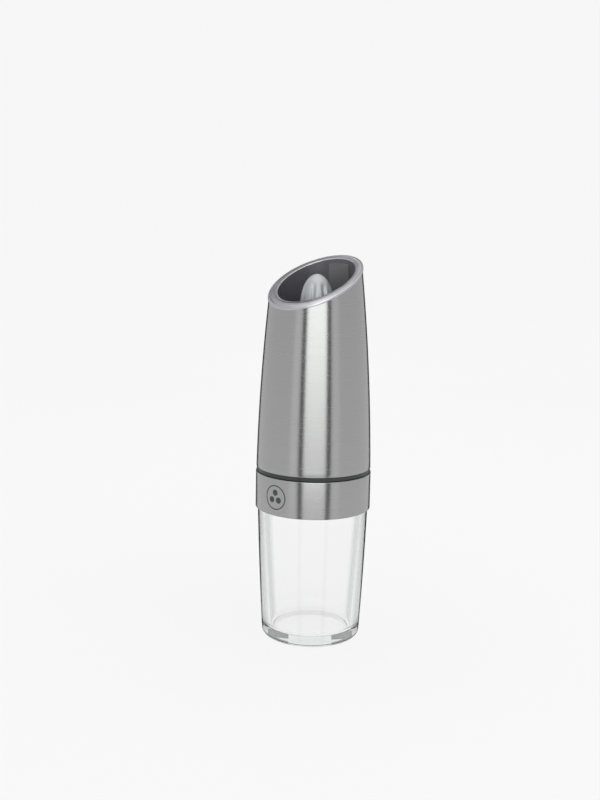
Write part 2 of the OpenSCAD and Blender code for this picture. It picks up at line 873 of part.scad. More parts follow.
// Spring that lifts the burr cone off the ring
module burr_spring() {
  color("#d8d8d4") coil(3.8, 0.3, seat_top + 0.02, spring_top - 0.02, 4);
}

// Ceramic inner burr
module burr_cone() {
  color("#e9e6df") difference() {
    union() {
      translate([0, 0, cone_low]) cylinder(r1 = cone_r_low, r2 = cone_r, h = cone_high - cone_low);
      rod(cone_r, cone_high - 0.01, cone_top);
    }
    translate([0, 0, cone_low - 1]) cylinder(r = hex_r + 0.05, h = 20, $fn = 6);
    rod(4.65, cone_low - 1, spring_top);
    groove_set(cone_r_low, cone_r, cone_low, cone_high - 2.6, 0.9, 0.6, -14);
  }
}

// Fluted dome that sets the coarseness
module grind_knob() {
  dome_low = knob_top - knob_dome;
  flute_top = knob_top - 7;
  side = [for (a = [0 : 10 : 90]) [knob_r * cos(a), dome_low + knob_dome * sin(a)]];
  color("#b4b6b6") difference() {
    rotate_extrude() polygon(concat([[0, knob_low], [knob_r, knob_low]], side));
    rod(hex_r + 0.4, knob_low - 1, knob_low + 2.4);
    rod(thread_r + 0.2, knob_low, shaft_top + 2.2);
    translate([0, 0, knob_low + 2]) cylinder(r = 4.1, h = 6.1, $fn = 6);
    for (i = [0 : knob_flutes - 1])
      rotate([0, 0, flute_turn + i * 360 / knob_flutes]) translate([knob_r + 0.95, 0, 0]) {
        rod(1.9, knob_low - 1, flute_top);
        translate([0, 0, flute_top]) rotate([0, -24, 0]) translate([0, 0, -0.5]) cylinder(r = 1.9, h = 9);
      }
  }
}

// Brass nut inside the knob
module knob_nut() {
  color("#c9a25a") difference() {
    translate([0, 0, knob_low + 4.8]) cylinder(r = 4.05, h = 3.2, $fn = 6);
    rod(thread_r + 0.06, knob_low, knob_low + 10);
  }
}

// Ball of the tilt switch
module tilt_ball() {
  color("#d8c06a") translate([tilt_x, 0, board_top + 0.5 + ball_r + 0.02]) sphere(r = ball_r, $fn = 32);
}

// ---- Shell ----

// Brushed steel shell, cut off at a slant
module steel_shell() {
  color("#9b9d9f") difference() {
    shell_body(0, shell_bottom, 200);
    shell_body(steel, shell_bottom - 0.1, 201);
    above_mouth(-bezel_h);
  }
}

// Bright ring on the slanted rim, with a skirt inside the steel
module mouth_bezel() {
  proud = 0.45;
  skirt = 3.5;
  color("#c4c5c9") union() {
    difference() {
      shell_body(-proud, 160, 205);
      mouth_body(-0.02, 150, 206);
      above_mouth(0);
      below_mouth(-bezel_h);
    }
    difference() {
      shell_body(steel + gap, 160, 203);
      shell_body(steel + 1.1, 150, 206);
      above_mouth(-bezel_h + 0.1);
      below_mouth(-bezel_h - skirt);
    }
  }
}

// Dark lining of the mouth, with a floor round the burr tower
module mouth_liner() {
  color("#3f3f44") difference() {
    union() {
      difference() {
        mouth_body(liner_wall, liner_low, 202);
        mouth_body(0, liner_low - 1, 204);
        above_mouth(-bezel_h - 0.02);
      }
      tube(mouth_in(liner_low) + 0.3, liner_hole, liner_low, liner_low + liner_floor);
    }
    rod(liner_hole, liner_low - 1, liner_low + 2);
  }
}

// Smoke-grey window over the lamp's side of the mouth, a thin panel on the liner's face
module mouth_window() {
  color("#56565a") difference() {
    intersection() {
      mouth_body(-gap, window_low, 202);
      wedge(90, window_half, window_low, 202);
    }
    mouth_body(-window_h, window_low - 1, 204);
    above_mouth(-bezel_h - 0.9);
  }
}

// Plastic sleeve inside the lower part of the shell
module inner_sleeve() {
  color("#2b2d30") difference() {
    shell_body(steel + gap, shell_bottom + 0.5, 128, 8);
    shell_body(steel + 1, shell_bottom - 1, 130, 8);
  }
}

// ---- Nodes ----

jar();
jar_collar();
band_sleeve();
jar_gasket();
base_flange();
battery_frame();
feed_ducts();
contact_strips();
contact_springs();
battery_cells();
top_deck();
motor_can();
motor_magnets();
motor_end_cap();
motor_brushes();
motor_bushes();
gearbox_base();
gearbox_ring();
gearbox_cover();
shaft_seal();
burr_housing();
burr_ring();
ring_retainer();
shaft_bush();
control_board();
tilt_switch_tube();
led_lamp();
light_guide();
motor_wires();
led_wires();
flange_screws();
deck_screws();
cover_screws();
housing_screws();
motor_screws();
motor_shaft();
armature_stack();
armature_windings();
commutator();
sun_gear();
first_carrier();
first_planet_a();
first_planet_b();
first_planet_c();
second_carrier();
second_planet_a();
second_planet_b();
second_planet_c();
drive_shaft();
spring_seat();
burr_spring();
burr_cone();
grind_knob();
knob_nut();
tilt_ball();
steel_shell();
mouth_bezel();
mouth_liner();
mouth_window();
inner_sleeve();
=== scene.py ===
"""Battery pepper mill: slanted brushed-steel shell on a steel collar band and a thick clear jar.

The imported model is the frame. Each operator below makes one piece or one group of finishes round it.
Lengths in the property groups are kept in metres; the operators read them in millimetres.
"""

import math
from types import SimpleNamespace

import bpy
from mathutils import Matrix, Vector


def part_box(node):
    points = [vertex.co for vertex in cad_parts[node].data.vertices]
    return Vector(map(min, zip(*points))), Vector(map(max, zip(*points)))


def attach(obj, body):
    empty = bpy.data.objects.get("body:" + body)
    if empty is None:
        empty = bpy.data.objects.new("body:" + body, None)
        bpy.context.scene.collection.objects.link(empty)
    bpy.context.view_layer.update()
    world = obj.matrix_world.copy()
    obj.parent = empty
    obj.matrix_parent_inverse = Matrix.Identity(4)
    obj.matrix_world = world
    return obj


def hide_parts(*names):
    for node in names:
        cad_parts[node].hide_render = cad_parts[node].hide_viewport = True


bl_info = {
    "name": "Pepper Mill",
    "version": (1, 0, 0),
    "blender": (4, 5, 0),
    "location": "3D View > Sidebar > Mill",
    "description": "Builds a battery pepper mill with a slanted steel shell round its packed frame",
    "category": "Add Mesh",
}

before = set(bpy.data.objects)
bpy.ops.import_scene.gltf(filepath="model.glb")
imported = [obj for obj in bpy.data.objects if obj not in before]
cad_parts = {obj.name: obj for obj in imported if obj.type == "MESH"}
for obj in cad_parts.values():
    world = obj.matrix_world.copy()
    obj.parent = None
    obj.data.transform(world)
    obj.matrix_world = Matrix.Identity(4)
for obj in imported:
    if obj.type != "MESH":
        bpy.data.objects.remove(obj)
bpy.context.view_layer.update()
MM = 0.001
TURN = 2 * math.pi


def top_mm(node):
    """Height of a frame node's top, in millimetres."""
    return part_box(node)[1].z / MM


def low_mm(node):
    """Height of a frame node's underside, in millimetres."""
    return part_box(node)[0].z / MM


def radius_mm(node):
    """Largest half width of a frame node along X, in millimetres."""
    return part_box(node)[1].x / MM


# ---------------------------------------------------------------- sizes and colours


def length(name, description, millimetres):
    """Property for a length, given in millimetres and kept in metres."""
    return bpy.props.FloatProperty(
        name=name, description=description, default=millimetres * MM, min=0.0, max=0.4, precision=5,
        subtype="DISTANCE", unit="LENGTH",
    )


def ratio(name, description, default):
    """Property for a slope or a curvature."""
    return bpy.props.FloatProperty(
        name=name, description=description, default=default, min=0.0, max=2.0, precision=5,
        subtype="FACTOR",
    )


def hex_colour(name, description, default):
    """Property that holds an sRGB hex colour."""
    return bpy.props.StringProperty(name=name, description=description, default=default, maxlen=7)


def in_mm(group):
    """Values of a property group, with its lengths in millimetres."""
    units = {key: group.bl_rna.properties[key].unit for key in group.__annotations__}
    return SimpleNamespace(
        **{key: getattr(group, key) / (MM if unit == "LENGTH" else 1) for key, unit in units.items()}
    )


class MillShellSizes(bpy.types.PropertyGroup):
    """Sizes of the shell, its bezel and the mouth."""

    bottom: length("Bottom", "Height of the shell's lower edge", low_mm("steel_shell"))
    radius: length("Radius", "Outer radius at the lower edge", radius_mm("steel_shell"))
    lean: ratio("Lean", "Narrowing per millimetre of height", 0.02)
    bow: ratio("Bow", "Extra narrowing per square millimetre of height", 0.00045)
    wall: length("Wall", "Thickness of the steel", 0.6)
    mouth_height: length("Mouth height", "Height of the mouth plane on the axis", 188.4)
    mouth_slope: ratio("Mouth slope", "Rise of the mouth plane towards +Y", 0.52)
    mouth_radius: length("Mouth radius", "Inner radius of the mouth", 19.7)
    mouth_flare: ratio("Mouth flare", "Widening of the mouth per millimetre downwards", 0.065)
    bezel: length("Bezel", "Thickness of the bezel", 1.4)
    proud: length("Proud", "How far the bezel stands out from the steel", 0.45)


class MillJarSizes(bpy.types.PropertyGroup):
    """Sizes of the jar and its collar band."""

    radius: length("Radius", "Outer radius under the collar", 28.8)
    shoulder: length("Shoulder", "Height of the jar's shoulder", 69.5)
    lean: ratio("Lean", "Narrowing per millimetre below the shoulder", 0.03)
    bow: ratio("Bow", "Extra narrowing per square millimetre below the shoulder", 0.00022)
    wall: length("Wall", "Thickness of the wall under the collar", 3.1)
    floor: length("Floor", "Thickness of the floor", 5.2)
    corner: length("Corner", "Rounding of the lower edge", 3.4)
    neck_top: length("Neck top", "Height of the neck's rim", top_mm("jar"))
    band_radius: length("Band radius", "Outer radius of the steel band", radius_mm("band_sleeve"))
    band_low: length("Band low", "Height of the band's lower edge", low_mm("band_sleeve"))
    band_high: length("Band high", "Height of the band's upper edge", top_mm("band_sleeve"))


class MillKnobSizes(bpy.types.PropertyGroup):
    """Sizes of the setting knob."""

    top: length("Top", "Height of the dome's top", top_mm("grind_knob"))
    low: length("Low", "Height of the knob's underside", low_mm("grind_knob"))
    radius: length("Radius", "Radius of the knob", 8.6)
    dome: length("Dome", "Height of the domed part", 16.0)
    flutes: bpy.props.IntProperty(name="Flutes", description="Number of finger flutes", default=8, min=3)
    flute_depth: length("Flute depth", "Depth of a flute", 0.95)
    flute_half: length("Flute half width", "Half the width of a flute", 1.75)
    flute_turn: bpy.props.FloatProperty(
        name="First flute", description="Angle of the first flute from +X", default=math.radians(-67.0),
        subtype="ANGLE", unit="ROTATION",
    )


class MillColours(bpy.types.PropertyGroup):
    """Base colours of the finishes, as sRGB hex values."""

    steel: hex_colour("Steel", "Brushed stainless steel", "#b9bab9")
    chrome: hex_colour("Bezel", "Satin-plated bezel", "#cfcfd3")
    charcoal: hex_colour("Liner", "Charcoal plastic of the mouth", "#5b5a60")
    smoke: hex_colour("Window", "Smoke-grey window of the mouth lamp", "#6c6c6f")
    black: hex_colour("Black", "Black moulded plastic", "#2a2c2d")
    ring: hex_colour("Ring", "Dark plastic of the seam ring", "#303334")
    silver: hex_colour("Knob", "Silver-painted plastic of the knob", "#babdbd")
    glass: hex_colour("Glass", "Clear glass", "#fefefe")
    oxide: hex_colour("Mark", "Dark oxide of the laser mark", "#4a4c4d")
    floor: hex_colour("Floor", "Pale studio floor", "#8c8c8c")


GROUPS = (
    ("mill_shell", MillShellSizes),
    ("mill_jar", MillJarSizes),
    ("mill_knob", MillKnobSizes),
    ("mill_colours", MillColours),
)


# ---------------------------------------------------------------- material tools


def linear(hex_value, factor=1.0):
    """Linear RGBA of an sRGB hex colour, made lighter or darker by a factor."""
    parts = [int(hex_value[i : i + 2], 16) / 255 for i in (1, 3, 5)]
    return [factor * (c / 12.92 if c <= 0.04045 else ((c + 0.055) / 1.055) ** 2.4) for c in parts] + [1.0]


def per_mm(*lengths):
    """Mapping scale that gives one feature about every so many millimetres along X, Y and Z."""
    lengths = lengths if len(lengths) == 3 else lengths * 3
    return [1 / (step * MM) for step in lengths]


def add(tree, kind, inputs=None, **settings):
    """Adds a node with its settings; an input is a value, a socket, or a node for its first output."""
    node = tree.nodes.new("ShaderNode" + kind)
    for key, value in settings.items():
        setattr(node, key, value)
    for key, value in (inputs or {}).items():
        if isinstance(value, bpy.types.Node):
            value = value.outputs[0]
        if isinstance(value, bpy.types.NodeSocket):
            tree.links.new(value, node.inputs[key])
        else:
            node.inputs[key].default_value = value
    return node


def material(name):
    """New material with an empty node tree."""
    made = bpy.data.materials.new(name)
    made.use_nodes = True
    tree = made.node_tree
    tree.nodes.clear()
    return made, tree


# ---------------------------------------------------------------- materials


def brushed_steel(name, colour):
    """Stainless steel, brushed round its axis: rings of scratches smear reflections up and down only."""
    made, tree = material(name)
    place = add(tree, "TexCoord").outputs["Object"]
    # Real scratches are under 0.1 mm wide; they are drawn 0.35 mm wide so that they show
    rings = add(tree, "Mapping", {"Vector": place, "Scale": per_mm(40.0, 40.0, 0.35)})
    # Broader bands that vary the gloss; their 3 mm is chosen, not known of the real surface
    belts = add(tree, "Mapping", {"Vector": place, "Scale": per_mm(60.0, 60.0, 3.0)})
    scratch = add(tree, "TexNoise", {"Vector": rings, "Scale": 1.0, "Detail": 4.0, "Roughness": 0.7})
    belt = add(tree, "TexNoise", {"Vector": belts, "Scale": 1.0, "Detail": 2.0, "Roughness": 0.55})
    share = add(tree, "MapRange", {"Value": scratch, "From Min": 0.3, "From Max": 0.7})
    tone = add(
        tree, "Mix", {0: share, 6: linear(colour, 0.972), 7: linear(colour, 1.02)}, data_type="RGBA"
    )
    both = add(tree, "Math", {0: scratch, 1: belt}, operation="ADD")
    rough = add(
        tree, "MapRange", {"Value": both, "From Min": 0.7, "From Max": 1.3, "To Min": 0.25, "To Max": 0.28}
    )
    bump = add(tree, "Bump", {"Height": scratch, "Distance": 0.0013 * MM, "Strength": 1.0})
    round_axis = add(tree, "Tangent", direction_type="RADIAL", axis="Z")
    shader = add(tree, "BsdfPrincipled", {
        "Base Color": tone.outputs[2], "Roughness": rough, "Normal": bump, "Tangent": round_axis,
        "Metallic": 1.0, "Anisotropic": 0.88, "Anisotropic Rotation": 0.25,
    })
    add(tree, "OutputMaterial", {"Surface": shader})
    return made


def satin_plating(name, colour):
    """Satin chrome on moulded ABS: bright and soft, with hardly any grain."""
    made, tree = material(name)
    place = add(tree, "TexCoord").outputs["Object"]
    # Clouds of 6 mm, chosen, not known of the real surface
    spread = add(tree, "Mapping", {"Vector": place, "Scale": per_mm(6.0)})
    cloud = add(tree, "TexNoise", {"Vector": spread, "Scale": 1.0, "Detail": 3.0, "Roughness": 0.55})
    tone = add(
        tree, "Mix", {0: cloud, 6: linear(colour, 0.96), 7: linear(colour, 1.03)}, data_type="RGBA"
    )
    rough = add(
        tree, "MapRange", {"Value": cloud, "From Min": 0.3, "From Max": 0.7, "To Min": 0.34, "To Max": 0.4}
    )
    shader = add(tree, "BsdfPrincipled", {
        "Base Color": tone.outputs[2], "Roughness": rough, "Metallic": 1.0,
    })
    add(tree, "OutputMaterial", {"Surface": shader})
    return made


def moulded(name, colour, rough=0.42, grain_mm=0.5, depth_mm=0.01, **values):
    """Moulded plastic or rubber: an even colour, a spark-eroded grain and slightly uneven gloss."""
    made, tree = material(name)
    place = add(tree, "TexCoord").outputs["Object"]
    # Real grain is about 0.1 mm; it is drawn coarser so that it shows
    fine = add(tree, "Mapping", {"Vector": place, "Scale": per_mm(grain_mm)})
    spread = add(tree, "Mapping", {"Vector": place, "Scale": per_mm(9.0)})
    grain = add(tree, "TexNoise", {"Vector": fine, "Scale": 1.0, "Detail": 2.0, "Roughness": 0.55})
    cloud = add(tree, "TexNoise", {"Vector": spread, "Scale": 1.0, "Detail": 3.0, "Roughness": 0.55})
    tone = add(
        tree, "Mix", {0: cloud, 6: linear(colour, 0.93), 7: linear(colour, 1.06)}, data_type="RGBA"
    )
    gloss = add(tree, "MapRange", {
        "Value": cloud, "From Min": 0.3, "From Max": 0.7, "To Min": rough - 0.05, "To Max": rough + 0.06,
    })
    bump = add(tree, "Bump", {"Height": grain, "Distance": depth_mm * MM, "Strength": 1.0})
    shader = add(tree, "BsdfPrincipled", {
        "Base Color": tone.outputs[2], "Roughness": gloss, "Normal": bump, "IOR": 1.5,
        **{key.replace("_", " "): value for key, value in values.items()},
    })
    add(tree, "OutputMaterial", {"Surface": shader})
    return made


def silver_paint(name, colour):
    """Silver paint on ABS: small metal flakes under a satin lacquer."""
    made, tree = material(name)
    place = add(tree, "TexCoord").outputs["Object"]
    # Real flakes are about 0.05 mm; they are drawn 0.3 mm apart so that they show
    fine = add(tree, "Mapping", {"Vector": place, "Scale": per_mm(0.3)})
    flakes = add(tree, "TexVoronoi", {"Vector": fine, "Scale": 1.0})
    tone = add(
        tree, "Mix", {0: flakes, 6: linear(colour, 0.93), 7: linear(colour, 1.05)}, data_type="RGBA"
    )
    rough = add(
        tree, "MapRange", {"Value": flakes, "From Min": 0.0, "From Max": 0.8, "To Min": 0.4, "To Max": 0.48}
    )
    bump = add(tree, "Bump", {"Height": flakes, "Distance": 0.006 * MM, "Strength": 1.0})
    shader = add(tree, "BsdfPrincipled", {
        "Base Color": tone.outputs[2], "Roughness": rough, "Normal": bump, "Metallic": 0.35,
        "Coat Weight": 0.15, "Coat Roughness": 0.3,
    })
    add(tree, "OutputMaterial", {"Surface": shader})
    return made


def clear_glass(name, colour):
    """Pressed glass, fire polished: clear with faint waves, and a painted shade that greys its upright walls
    where one looks along them.
    """
    made, tree = material(name)
    place = add(tree, "TexCoord").outputs["Object"]
    # Painted shade: upright glass seen edge-on is tinted grey by viewing angle, not greyed by the optics
    along = add(tree, "LayerWeight", {"Blend": 0.5}).outputs["Facing"]
    edge_on_shade_mask = add(tree, "MapRange", {"Value": along, "From Min": 0.46, "From Max": 0.62})
    # The floor and foot keep clear: the painted shade greys only faces that stand upright
    height = add(tree, "SeparateXYZ", {0: add(tree, "TexCoord").outputs["Normal"]}).outputs["Z"]
    flatness = add(tree, "Math", {0: height}, operation="ABSOLUTE")
    upright = add(tree, "MapRange", {
        "Value": flatness, "From Min": 0.3, "From Max": 0.7, "To Min": 1.0, "To Max": 0.0,
    })
    share = add(tree, "Math", {0: edge_on_shade_mask, 1: upright}, operation="MULTIPLY")
    # Painted shade: the grey that edge-on glass is tinted towards
    painted_edge_shade = add(tree, "Mix", {0: share, 6: linear(colour), 7: linear("#bec0c0")}, data_type="RGBA")
    # Waves of 16 mm by 26 mm, chosen, not known of the real glass
    long_waves = add(tree, "Mapping", {"Vector": place, "Scale": per_mm(16.0, 16.0, 26.0)})
    waves = add(tree, "TexNoise", {"Vector": long_waves, "Scale": 1.0, "Detail": 1.0, "Roughness": 0.55})
    bump = add(tree, "Bump", {"Height": waves, "Distance": 0.02 * MM, "Strength": 0.35})
    shader = add(tree, "BsdfPrincipled", {
        "Base Color": painted_edge_shade.outputs[2], "Normal": bump, "Roughness": 0.0, "IOR": 1.5,
        "Transmission Weight": 1.0,
    })
    body = add(tree, "VolumeAbsorption", {"Color": linear("#e6e8e8"), "Density": 14.0})
    add(tree, "OutputMaterial", {"Surface": shader, "Volume": body})
    return made


def machined(name, colour, rough=0.28, line_mm=0.2):
    """Turned, drawn or plated metal: a fine line grain across it."""
    made, tree = material(name)
    place = add(tree, "TexCoord").outputs["Object"]
    # Real tool marks are under 0.1 mm apart; they are drawn coarser so that they show
    across = add(tree, "Mapping", {"Vector": place, "Scale": per_mm(4.0, 4.0, line_mm)})
    lines = add(tree, "TexNoise", {"Vector": across, "Scale": 1.0, "Detail": 3.0, "Roughness": 0.55})
    tone = add(
        tree, "Mix", {0: lines, 6: linear(colour, 0.88), 7: linear(colour, 1.07)}, data_type="RGBA"
    )
    gloss = add(tree, "MapRange", {
        "Value": lines, "From Min": 0.3, "From Max": 0.7, "To Min": rough - 0.06, "To Max": rough + 0.08,
    })
    bump = add(tree, "Bump", {"Height": lines, "Distance": 0.006 * MM, "Strength": 1.0})
    shader = add(tree, "BsdfPrincipled", {
        "Base Color": tone.outputs[2], "Roughness": gloss, "Normal": bump, "Metallic": 1.0,
    })
    add(tree, "OutputMaterial", {"Surface": shader})
    return made


def sintered_ceramic(name, colour):
    """White ground ceramic: matt and dense, with a faint speckle."""
    made, tree = material(name)
    place = add(tree, "TexCoord").outputs["Object"]
    # Real grains are typically under 0.05 mm; they are drawn 0.25 mm wide so that they show
    fine = add(tree, "Mapping", {"Vector": place, "Scale": per_mm(0.25)})
    speck = add(tree, "TexNoise", {"Vector": fine, "Scale": 1.0, "Detail": 4.0, "Roughness": 0.55})
    tone = add(
        tree, "Mix", {0: speck, 6: linear(colour, 0.92), 7: linear(colour, 1.03)}, data_type="RGBA"
    )
    rough = add(
        tree, "MapRange", {"Value": speck, "From Min": 0.3, "From Max": 0.7, "To Min": 0.45, "To Max": 0.6}
    )
    bump = add(tree, "Bump", {"Height": speck, "Distance": 0.01 * MM, "Strength": 1.0})
    shader = add(tree, "BsdfPrincipled", {
        "Base Color": tone.outputs[2], "Roughness": rough, "Normal": bump, "Specular IOR Level": 0.55,
    })
    add(tree, "OutputMaterial", {"Surface": shader})
    return made


def etched_mark(name, colour):
    """Laser mark on steel: a dark, dry, dull oxide."""
    made, tree = material(name)
    place = add(tree, "TexCoord").outputs["Object"]
    # Real laser lines are typically under 0.1 mm apart; a 0.2 mm speckle stands for them so that it shows
    fine = add(tree, "Mapping", {"Vector": place, "Scale": per_mm(0.2)})
    speck = add(tree, "TexNoise", {"Vector": fine, "Scale": 1.0, "Detail": 3.0, "Roughness": 0.55})
    tone = add(
        tree, "Mix", {0: speck, 6: linear(colour, 0.85), 7: linear(colour, 1.15)}, data_type="RGBA"
    )
    rough = add(
        tree, "MapRange", {"Value": speck, "From Min": 0.3, "From Max": 0.7, "To Min": 0.5, "To Max": 0.65}
    )
    shader = add(tree, "BsdfPrincipled", {
        "Base Color": tone.outputs[2], "Roughness": rough, "Metallic": 0.35,
    })
    add(tree, "OutputMaterial", {"Surface": shader})
    return made


def opal_acrylic(name, colour):
    """Opal acrylic of the studio floor, matt and lit from below: pale, even and without hard shadows."""
    made, tree = material(name)
    place = add(tree, "TexCoord").outputs["Object"]
    # Clouds of 5 mm, chosen: they keep the floor from being one flat tone
    spread = add(tree, "Mapping", {"Vector": place, "Scale": per_mm(5.0)})
    cloud = add(tree, "TexNoise", {"Vector": spread, "Scale": 1.0, "Detail": 3.0, "Roughness": 0.55})
    tone = add(
        tree, "Mix", {0: cloud, 6: linear(colour, 0.99), 7: linear(colour, 1.01)}, data_type="RGBA"
    )
    shader = add(tree, "BsdfPrincipled", {
        "Base Color": tone.outputs[2], "Roughness": 0.9, "Specular IOR Level": 0.1,
        "Emission Color": linear("#ffffff"), "Emission Strength": 0.66,
    })
    add(tree, "OutputMaterial", {"Surface": shader})
    return made


def felt(name, colour):
    """Studio felt: dead flat and without gloss, so that only its tone shows in what it edges."""
    made, tree = material(name)
    shader = add(tree, "BsdfPrincipled", {"Base Color": linear(colour), "Roughness": 1.0})
    add(tree, "OutputMaterial", {"Surface": shader})
    return made


# ---------------------------------------------------------------- mesh tools


def make_piece(name, verts, faces, body, finish, replaced=(), sharp=32.0):
    """Makes a mesh piece that rides on a body, wears a finish and stands for frame nodes.

    Edges are kept sharp where faces meet at more than `sharp` degrees.
    """
    mesh = bpy.data.meshes.new(name)
    mesh.from_pydata([[c * MM for c in v] for v in verts], [], faces)
    mesh.validate()
    mesh.shade_smooth()
    mesh.set_sharp_from_angle(angle=math.radians(sharp))
    mesh.materials.append(finish)
    piece = bpy.data.objects.new(name, mesh)
    bpy.context.scene.collection.objects.link(piece)
    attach(piece, body)
    if replaced:
        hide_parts(*replaced)
    return piece


def loft(rings, closed=True):
    """Vertices and quads through equal rings; closed joins the last ring to the first."""
    count = len(rings[0])
    verts = [p for ring in rings for p in ring]
    faces = []
    for i in range(len(rings) if closed else len(rings) - 1):
        j = (i + 1) % len(rings)
        for k in range(count):
            m = (k + 1) % count
            faces.append((i * count + k, i * count + m, j * count + m, j * count + k))
    return verts, faces


def capped(rings, first, last):
    """Open loft whose ends close on one point each."""
    verts, faces = loft(rings, closed=False)
    count = len(rings[0])
    base = (len(rings) - 1) * count
    verts += [first, last]
    for k in range(count):
        m = (k + 1) % count
        faces.append((len(verts) - 2, m, k))
        faces.append((len(verts) - 1, base + k, base + m))
    return verts, faces


def circle(radius, height, steps):
    """Ring of points round the axis."""
    return [
        (radius * math.cos(TURN * k / steps), radius * math.sin(TURN * k / steps), height)
        for k in range(steps)
    ]


def rounded(outline, radius, steps):
    """Closed outline with every corner rounded, by a shorter radius where its sides are short."""
    points = [Vector(p) for p in outline]
    made = []
    for i, q in enumerate(points):
        p, s = points[i - 1], points[(i + 1) % len(points)]
        reach = min(radius, 0.45 * (p - q).length, 0.45 * (s - q).length)
        a, b = q + (p - q).normalized() * reach, q + (s - q).normalized() * reach
        for n in range(steps + 1):
            t = n / steps
            made.append((1 - t) ** 2 * a + 2 * t * (1 - t) * q + t * t * b)
    return made


def lathe(outline, steps):
    """Turned body from a closed outline of (radius, height) points."""
    return loft([circle(r, z, steps) for r, z in outline])


def arc(x, y, radius, start, end, steps):
    """Points of an arc, in degrees."""
    turns = [math.radians(start + (end - start) * i / steps) for i in range(steps + 1)]
    return [(x + radius * math.cos(a), y + radius * math.sin(a)) for a in turns]


def smooth(t):
    """Soft step from 0 to 1."""
    t = min(1.0, max(0.0, t))
    return t * t * (3 - 2 * t)


# ---------------------------------------------------------------- shapes of the mill


def shell_radius(s, z):
    """Radius of the steel at a height."""
    h = z - s.bottom
    return s.radius - s.lean * h - s.bow * h * h


def mouth_radius(s, z):
    """Radius of the mouth's inner face at a height."""
    return s.mouth_radius + s.mouth_flare * (s.mouth_height - z)


def on_plane(s, angle, radius_at, depth):
    """Height at which a wall meets the mouth plane, lowered by a depth along the plane's normal."""
    drop = depth * math.sqrt(1 + s.mouth_slope**2)
    z = s.mouth_height
    # The wall leans, so its radius depends on the height that is looked for; each round gets closer
    for _ in range(24):
        z = s.mouth_height - drop + s.mouth_slope * radius_at(z) * math.sin(angle)
    return z


def mouth_ring(s, share, depth, steps, inset):
    """Ring on the mouth plane: share 0 is the bezel's outer edge, share 1 its inner edge."""
    inner_gap = 0.02
    points = []
    for k in range(steps):
        angle = TURN * k / steps

        def reach(z):
            """Radius of the ring at a height."""
            outer = shell_radius(s, z) + s.proud
            inner = mouth_radius(s, z) - inner_gap
            return outer + (inner - outer) * share - inset

        z = on_plane(s, angle, reach, depth)
        r = reach(z)
        points.append((r * math.cos(angle), r * math.sin(angle), z))
    return points


def wall_ring(s, share, inset, depth, steps):
    """Ring on the steel: share 0 is the lower edge, share 1 the slanted edge at a depth."""
    points = []
    for k in range(steps):
        angle = TURN * k / steps
        top = on_plane(s, angle, lambda z: shell_radius(s, z) - inset, depth)
        z = s.bottom + (top - s.bottom) * share
        r = shell_radius(s, z) - inset
        points.append((r * math.cos(angle), r * math.sin(angle), z))
    return points


class MILL_OT_shell(bpy.types.Operator):
    """Steel shell: one drawn wall, cut at a slant, with its lower edge rounded"""

    bl_idname = "mill.shell"
    bl_label = "Steel shell"

    def execute(self, context):
        s, colours = in_mm(context.scene.mill_shell), context.scene.mill_colours
        steps, rows = 256, 40
        edge = 0.22
        outside = [wall_ring(s, i / rows, 0.0, s.bezel, steps) for i in range(rows + 1)]
        outside[0] = [(x, y, z + edge) for x, y, z in outside[0]]
        inside = [wall_ring(s, 1 - i / rows, s.wall, s.bezel, steps) for i in range(rows + 1)]
        # Lower edge from the inside out: how far it lies in from the steel's face, and how far up
        lower = [
            [(x, y, z + up) for x, y, z in wall_ring(s, 0.0, inset, s.bezel, steps)]
            for inset, up in ((s.wall * 0.8, 0.0), (edge, 0.0), (0.06, 0.08))
        ]
        verts, faces = loft(outside + inside + lower)
        make_piece(
            "shell_steel", verts, faces, "shell",
            brushed_steel("stainless steel, brushed", colours.steel), ("steel_shell",),
        )
        return {"FINISHED"}


class MILL_OT_bezel(bpy.types.Operator):
    """Bezel: flat satin ring on the slanted rim with a rolled outer edge, a fine groove and a lip"""

    bl_idname = "mill.bezel"
    bl_label = "Mouth bezel"

    def execute(self, context):
        s, colours = in_mm(context.scene.mill_shell), context.scene.mill_colours
        steps = 256
        # Each point: 0 for the outer edge to 1 for the inner one, inset towards the axis, and depth
        under = [(0.0, 0.4, s.bezel), (0.0, 0.14, s.bezel - 0.06), (0.0, 0.0, s.bezel - 0.3)]
        roll = [(0.0, 0.0, 0.62), (0.0, 0.05, 0.4), (0.0, 0.16, 0.2), (0.0, 0.34, 0.07), (0.0, 0.55, 0.02)]
        groove = [(0.0, 0.72, 0.05), (0.0, 0.76, 0.42), (0.0, 1.04, 0.42), (0.0, 1.08, 0.04)]
        face = [(0.0, 1.2, 0.0), (0.6, 0.6, 0.0), (1.0, -0.3, 0.0)]
        lip = [(1.0, -0.12, 0.03), (1.0, -0.03, 0.1), (1.0, 0.0, 0.22), (1.0, 0.0, 0.3)]
        rabbet = [(1.0, -1.5, 0.34), (1.0, -1.5, s.bezel)]
        section = under + roll + groove + face + lip + rabbet
        verts, faces = loft([mouth_ring(s, share, depth, steps, inset) for share, inset, depth in section])
        make_piece(
            "bezel_ring", verts, faces, "shell",
            satin_plating("ABS, satin chrome plated", colours.chrome), ("mouth_bezel",), 40.0,
        )
        return {"FINISHED"}


